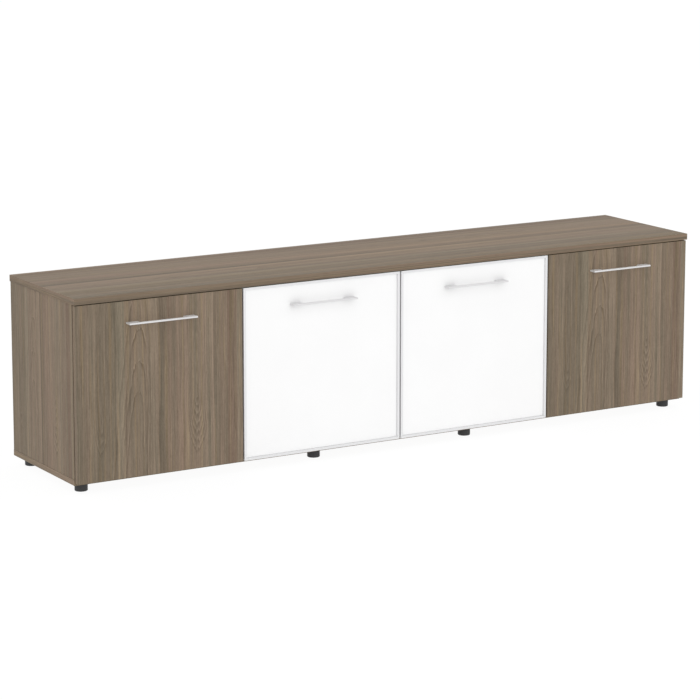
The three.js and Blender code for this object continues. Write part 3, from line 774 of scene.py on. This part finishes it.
# Turns of the recesses, in radians: from screw to screw, and of the first ones
TURN_STEP = 1.1
FLAP_TURN_STEP = 0.7
CABINET_TURN = 0.3
ADJUSTER_TURN = 0.5
KNUCKLE = 2.4  # radius of the hinge's knuckles
LEAF_BACK = -0.2  # from the hinge axis to the rear face of the flap's leaf
LEAF_RISE = 18.0  # of the screws above the hinge axis
LEAF_SPREAD = 20.0  # of the screws, each way from the hinge's middle
FLANGE_INSET = 9.0  # of the screws from the rear edge of the fixed leaf
HANDLE_LEG_INSET = 16.5  # from the handle's end to the middle of its leg
BRACKET_SPREAD = 12.5  # of the screws, each way from the bracket's middle
BRACKET_PLATE = 2.0  # from the front of the bracket's plate to its rear face
BACK_SCREW_INSET = 40.0  # from the ends of a row to its first screw
BACK_SCREWS = 4  # in each row
CAP_INSET = 34.0  # from the ends of a wall to the fittings that join it
CAP_FRONT, CAP_REAR = 45.0, 40.0  # from its front and rear edges
BUMPER_DROP = 15.0  # from the top of a flap
BUMPER_INSET = 2.8  # from a partition's face


def screw(mesh, at, out, size, turn):
    turned(mesh, at, out, *size, PAN_HEAD, cross, turn)


def flap_screws(bay):
    """Screws of a flap's hinges, handle and stay bracket."""
    flap = f"flap_{bay}"
    mesh = bmesh.new()
    turn = bay * FLAP_TURN_STEP
    for side in HINGE_SIDES:
        leaf = f"{flap}_hinge_{side}_flap_leaf"
        low = span(leaf)[0]
        y, z = low.y + KNUCKLE + LEAF_BACK, low.z + KNUCKLE + LEAF_RISE
        for way in (-1, 1):
            turn += TURN_STEP
            at = (middle(leaf).x + way * LEAF_SPREAD, y, z)
            screw(mesh, at, BACKWARD, LEAF_SCREW, turn)
    low, high = span(f"{flap}_handle")
    back = span(f"{flap}_panel" if bay in WOOD_BAYS else f"{flap}_glass")[1].y
    for x in (low.x + HANDLE_LEG_INSET, high.x - HANDLE_LEG_INSET):
        turn += TURN_STEP
        screw(mesh, (x, back, (low.z + high.z) / 2), BACKWARD, HANDLE_SCREW, turn)
    low, high = span(f"{flap}_stay_bracket")
    x, z = (low.x + high.x) / 2, (low.z + high.z) / 2
    for way in (-1, 1):
        turn += TURN_STEP
        at = (x, low.y + BRACKET_PLATE, z + way * BRACKET_SPREAD)
        screw(mesh, at, BACKWARD, BRACKET_SCREW, turn)
    add_piece(f"{flap}_screws", mesh, flap, STEEL)


def cabinet_screws():
    """Screws of the fixed hinge leaves, and of the back panel along the partitions."""
    mesh = bmesh.new()
    turn = CABINET_TURN
    for bay in BAYS:
        for side in HINGE_SIDES:
            leaf = f"flap_{bay}_hinge_{side}_fixed_leaf"
            high = span(leaf)[1]
            for way in (-1, 1):
                turn += TURN_STEP
                at = (middle(leaf).x + way * LEAF_SPREAD, high.y - FLANGE_INSET, high.z)
                screw(mesh, at, UPWARD, LEAF_SCREW, turn)
    low, high = span("back_panel")
    for wall in WALLS[1:-1]:
        for i in range(BACK_SCREWS):
            turn += TURN_STEP
            share = i / (BACK_SCREWS - 1)
            z = low.z + BACK_SCREW_INSET + share * (high.z - low.z - 2 * BACK_SCREW_INSET)
            screw(mesh, (middle(wall).x, high.y, z), BACKWARD, BACK_SCREW, turn)
    add_piece("cabinet_screws", mesh, "carcass", STEEL)


def fitting_caps():
    """Covers of the knock-down fittings, on the faces of the walls inside the bays."""
    mesh = bmesh.new()
    for wall in WALLS:
        low, high = span(wall)
        faces = []
        if wall != WALLS[0]:
            faces.append((low.x, LEFTWARD))
        if wall != WALLS[-1]:
            faces.append((high.x, RIGHTWARD))
        for x, out in faces:
            for y in (low.y + CAP_FRONT, high.y - CAP_REAR):
                for z in (low.z + CAP_INSET, high.z - CAP_INSET):
                    turned(mesh, (x, y, z), out, *FITTING_CAP, CAP)
    add_piece("fitting_caps", mesh, "carcass", CAP_PLASTIC)


def bumpers():
    """Soft stops on the front edges of the walls, where the closed flaps rest."""
    mesh = bmesh.new()
    height = span("flap_1_panel")[1].z - BUMPER_DROP
    for wall in WALLS:
        low, high = span(wall)
        places = [low.x + BUMPER_INSET, high.x - BUMPER_INSET]
        if wall in (WALLS[0], WALLS[-1]):
            places = [(low.x + high.x) / 2]
        for x in places:
            turned(mesh, (x, low.y, height), FORWARD, *BUMPER, BUTTON)
    add_piece("bumpers", mesh, "carcass", CAP_PLASTIC)


def brake_adjuster(bay):
    """The slotted screw that sets the brake's friction, on its free side."""
    brake = f"flap_{bay}_stay_brake"
    low, high = span(brake)
    x, out = (high.x, RIGHTWARD) if bay in BAYS[:2] else (low.x, LEFTWARD)
    at = (x, (low.y + high.y) / 2, (low.z + high.z) / 2)
    mesh = bmesh.new()
    turned(mesh, at, out, *ADJUSTER, PAN_HEAD, slit, ADJUSTER_TURN + bay)
    add_piece(f"{brake}_adjuster", mesh, brake, ZINC)


for bay in BAYS:
    flap_screws(bay)
    brake_adjuster(bay)
cabinet_screws()
fitting_caps()
bumpers()


# Studio, in metres

FLOOR_SIZE = 60.0
FLOOR_MATTE = 0.97
FLOOR_GLOW = 0.945  # what the camera sees of the floor without any light on it
FLOOR_SHADE = 0.075  # and what light adds to it, less in the object's shadow
FLOOR_LIGHT = 0.88  # what the floor gives to the object by itself
FLOOR_LIGHT_SHARE = 0.6  # share of that in the light from below, the rest being reflected
SKY_LIGHT = 0.905  # what the surroundings give to the object
SKY_SEEN = 1.0  # and what the camera sees of them
LAMP_SIZE = (7.0, 4.5)
LAMP_TARGET = (0.0, 0.0, 0.3)
# Place and power of the lamps, and whether gloss shows them
LAMPS = {
    "softbox_front": ((0.0, -9.5, 2.8), 110.0, True),
    "softbox_left": ((-9.5, 0.0, 2.8), 55.0, True),
    "softbox_rear": ((6.5, 7.0, 2.8), 110.0, False),
}
CAMERA_PLACE = (-3.958, -6.5315, 1.8665)
CAMERA_YAW = math.radians(30.90)  # from +Y to the right
CAMERA_PITCH = math.radians(9.75)  # down
CAMERA_SENSOR, CAMERA_LENS = 36.0, 140.45  # in mm
CAMERA_SHIFT = -0.15
CAMERA_REACH = 100.0


def constant_node(tree, kind, **values):
    """A node with constants on its inputs."""
    node = tree.nodes.new(kind)
    for name, value in values.items():
        node.inputs[name].default_value = value
    return node


def seen_directly(tree):
    """1 for rays that show the surface itself: to the camera, in gloss or through glass."""
    path = tree.nodes.new("ShaderNodeLightPath")
    total = path.outputs["Is Camera Ray"]
    for name in ("Is Glossy Ray", "Is Transmission Ray"):
        node = tree.nodes.new("ShaderNodeMath")
        node.operation = "MAXIMUM"
        tree.links.new(total, node.inputs[0])
        tree.links.new(path.outputs[name], node.inputs[1])
        total = node.outputs[0]
    return total


def light_or_seen(tree, light, seen, surface):
    """Gives a surface one shader for the light on the object, and another for being seen."""
    choice = tree.nodes.new("ShaderNodeMixShader")
    tree.links.new(seen_directly(tree), choice.inputs[0])
    tree.links.new(light.outputs[0], choice.inputs[1])
    tree.links.new(seen.outputs[0], choice.inputs[2])
    tree.links.new(choice.outputs[0], surface)


def make_floor():
    mesh = bpy.data.meshes.new("floor")
    half = FLOOR_SIZE / 2
    corners = [(-half, -half, 0), (half, -half, 0), (half, half, 0), (-half, half, 0)]
    mesh.from_pydata(corners, [], [(0, 1, 2, 3)])
    floor = bpy.data.objects.new("floor", mesh)
    bpy.context.scene.collection.objects.link(floor)
    material = bpy.data.materials.new("floor")
    material.use_nodes = True
    tree = material.node_tree
    tree.nodes.clear()
    output = tree.nodes.new("ShaderNodeOutputMaterial")
    faint = constant_node(tree, "ShaderNodeBsdfDiffuse", Color=grey(FLOOR_SHADE))
    glow = constant_node(tree, "ShaderNodeEmission", Color=WHITE, Strength=FLOOR_GLOW)
    seen = tree.nodes.new("ShaderNodeAddShader")
    tree.links.new(faint.outputs[0], seen.inputs[0])
    tree.links.new(glow.outputs[0], seen.inputs[1])
    matte = constant_node(tree, "ShaderNodeBsdfDiffuse", Color=grey(FLOOR_MATTE))
    own = constant_node(tree, "ShaderNodeEmission", Color=WHITE, Strength=FLOOR_LIGHT)
    light = tree.nodes.new("ShaderNodeMixShader")
    light.inputs[0].default_value = FLOOR_LIGHT_SHARE
    tree.links.new(matte.outputs[0], light.inputs[1])
    tree.links.new(own.outputs[0], light.inputs[2])
    light_or_seen(tree, light, seen, output.inputs["Surface"])
    mesh.materials.append(material)


def make_world():
    world = bpy.data.worlds.new("studio")
    bpy.context.scene.world = world
    world.use_nodes = True
    tree = world.node_tree
    tree.nodes.clear()
    output = tree.nodes.new("ShaderNodeOutputWorld")
    light = constant_node(tree, "ShaderNodeBackground", Color=WHITE, Strength=SKY_LIGHT)
    seen = constant_node(tree, "ShaderNodeBackground", Color=WHITE, Strength=SKY_SEEN)
    light_or_seen(tree, light, seen, output.inputs["Surface"])


def make_light(name, place, power, gloss):
    """A soft lamp that faces the cabinet."""
    data = bpy.data.lights.new(name, "AREA")
    data.shape = "RECTANGLE"
    data.size, data.size_y = LAMP_SIZE
    data.energy = power
    lamp = bpy.data.objects.new(name, data)
    lamp.location = place
    lamp.rotation_mode = "QUATERNION"
    lamp.rotation_quaternion = (Vector(LAMP_TARGET) - Vector(place)).to_track_quat("-Z", "Y")
    lamp.visible_glossy = gloss
    bpy.context.scene.collection.objects.link(lamp)


def make_camera():
    data = bpy.data.cameras.new("camera")
    data.sensor_width = CAMERA_SENSOR
    data.lens = CAMERA_LENS
    data.shift_y = CAMERA_SHIFT
    data.clip_end = CAMERA_REACH
    camera = bpy.data.objects.new("camera", data)
    camera.location = CAMERA_PLACE
    level = math.cos(CAMERA_PITCH)
    aim = Vector((
        math.sin(CAMERA_YAW) * level,
        math.cos(CAMERA_YAW) * level,
        -math.sin(CAMERA_PITCH),
    ))
    camera.rotation_mode = "QUATERNION"
    camera.rotation_quaternion = aim.to_track_quat("-Z", "Y")
    bpy.context.scene.collection.objects.link(camera)
    bpy.context.scene.camera = camera


make_floor()
make_world()
for name, settings in LAMPS.items():
    make_light(name, *settings)
make_camera()
bpy.context.scene.view_settings.view_transform = "Standard"
